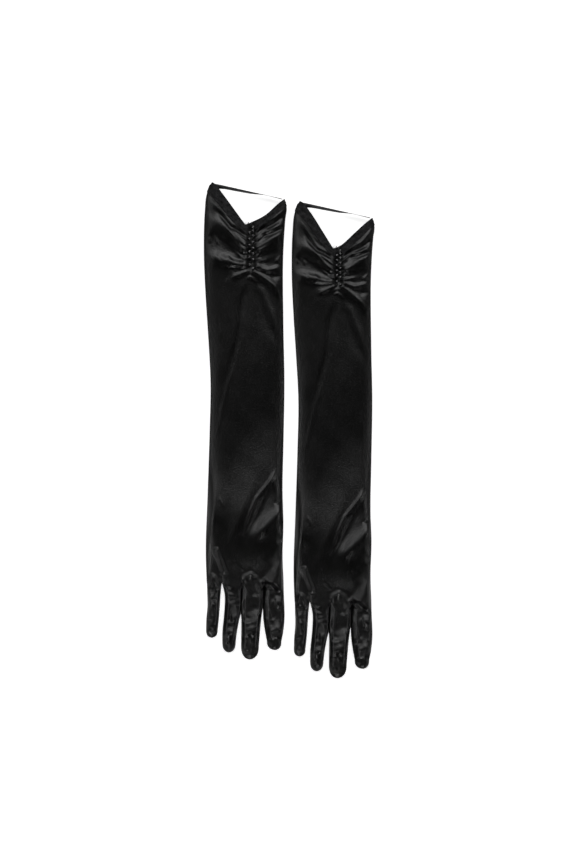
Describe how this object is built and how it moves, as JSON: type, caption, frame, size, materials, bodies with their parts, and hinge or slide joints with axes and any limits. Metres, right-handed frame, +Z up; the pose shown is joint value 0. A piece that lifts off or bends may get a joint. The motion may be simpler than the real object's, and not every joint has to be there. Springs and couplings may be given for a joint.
{
  "type": "pair of opera gloves",
  "caption": "Pair of long satin gloves lying flat, with V-shaped ruched cuffs closed by a column of small beads.",
  "frame": {"origin": "middle of the pair's footprint, on the surface that the gloves lie on", "axes": "+Y from the fingertips to the cuffs, +Z up out of the backs of the hands, +X from one glove to the other"},
  "size_m": [0.1986, 0.5796, 0.019],
  "materials": {
    "satin": "black stretch satin with a soft sheen",
    "hem_cloth": "matte black grosgrain facing",
    "elastic": "woven black elastic",
    "bead": "polished jet black"
  },
  "bodies": {
    "glove_a": {"a_back_panel": "satin", "a_palm_panel": "satin", "a_cuff_hem": "hem_cloth", "a_stay_tape": "elastic", "a_strap": "elastic", "a_bead_01": "bead", "a_bead_02": "bead", "a_bead_03": "bead", "a_bead_04": "bead", "a_bead_05": "bead", "a_bead_06": "bead", "a_bead_07": "bead", "a_bead_08": "bead", "a_bead_09": "bead", "a_bead_10": "bead", "a_bead_11": "bead", "a_bead_12": "bead", "a_bead_13": "bead", "a_bead_14": "bead"},
    "a_little": {"a_little_finger": "satin", "a_little_fourchette_right": "satin"},
    "a_ring": {"a_ring_finger": "satin", "a_ring_fourchette_left": "satin", "a_ring_fourchette_right": "satin"},
    "a_middle": {"a_middle_finger": "satin", "a_middle_fourchette_left": "satin", "a_middle_fourchette_right": "satin"},
    "a_index": {"a_index_finger": "satin", "a_index_fourchette_left": "satin"},
    "a_thumb": {"a_thumb": "satin"},
    "glove_b": {"b_back_panel": "satin", "b_palm_panel": "satin", "b_cuff_hem": "hem_cloth", "b_stay_tape": "elastic", "b_strap": "elastic", "b_bead_01": "bead", "b_bead_02": "bead", "b_bead_03": "bead", "b_bead_04": "bead", "b_bead_05": "bead", "b_bead_06": "bead", "b_bead_07": "bead", "b_bead_08": "bead", "b_bead_09": "bead", "b_bead_10": "bead", "b_bead_11": "bead", "b_bead_12": "bead", "b_bead_13": "bead", "b_bead_14": "bead"},
    "b_little": {"b_little_finger": "satin", "b_little_fourchette_right": "satin"},
    "b_ring": {"b_ring_finger": "satin", "b_ring_fourchette_left": "satin", "b_ring_fourchette_right": "satin"},
    "b_middle": {"b_middle_finger": "satin", "b_middle_fourchette_left": "satin", "b_middle_fourchette_right": "satin"},
    "b_index": {"b_index_finger": "satin", "b_index_fourchette_left": "satin"},
    "b_thumb": {"b_thumb": "satin"}
  },
  "joints": [
    {"name": "a_little_fold", "type": "hinge", "parent": "glove_a", "child": "a_little", "pos_m": [-0.08779, -0.17873, 0.012], "axis": [-1, 0, 0], "range_deg": [0, 90]},
    {"name": "a_ring_fold", "type": "hinge", "parent": "glove_a", "child": "a_ring", "pos_m": [-0.06639, -0.17873, 0.012], "axis": [-1, 0, 0], "range_deg": [0, 90]},
    {"name": "a_middle_fold", "type": "hinge", "parent": "glove_a", "child": "a_middle", "pos_m": [-0.04179, -0.17873, 0.012], "axis": [-1, 0, 0], "range_deg": [0, 90]},
    {"name": "a_index_fold", "type": "hinge", "parent": "glove_a", "child": "a_index", "pos_m": [-0.01769, -0.17873, 0.012], "axis": [-1, 0, 0], "range_deg": [0, 90]},
    {"name": "a_thumb_swing", "type": "hinge", "parent": "glove_a", "child": "a_thumb", "pos_m": [-0.01889, -0.10548, 0.0043], "axis": [0, 0, 1], "range_deg": [0, 30]},
    {"name": "b_glove_slide", "type": "slide", "parent": "glove_a", "child": "glove_b", "axis": [1, 0, 0], "range_m": [0, 0.15]},
    {"name": "b_little_fold", "type": "hinge", "parent": "glove_b", "child": "b_little", "pos_m": [0.01491, -0.20073, 0.012], "axis": [-1, 0, 0], "range_deg": [0, 90]},
    {"name": "b_ring_fold", "type": "hinge", "parent": "glove_b", "child": "b_ring", "pos_m": [0.03631, -0.20073, 0.012], "axis": [-1, 0, 0], "range_deg": [0, 90]},
    {"name": "b_middle_fold", "type": "hinge", "parent": "glove_b", "child": "b_middle", "pos_m": [0.06091, -0.20073, 0.012], "axis": [-1, 0, 0], "range_deg": [0, 90]},
    {"name": "b_index_fold", "type": "hinge", "parent": "glove_b", "child": "b_index", "pos_m": [0.08501, -0.20073, 0.012], "axis": [-1, 0, 0], "range_deg": [0, 90]},
    {"name": "b_thumb_swing", "type": "hinge", "parent": "glove_b", "child": "b_thumb", "pos_m": [0.08381, -0.12748, 0.0043], "axis": [0, 0, 1], "range_deg": [0, 30]}
  ]
}
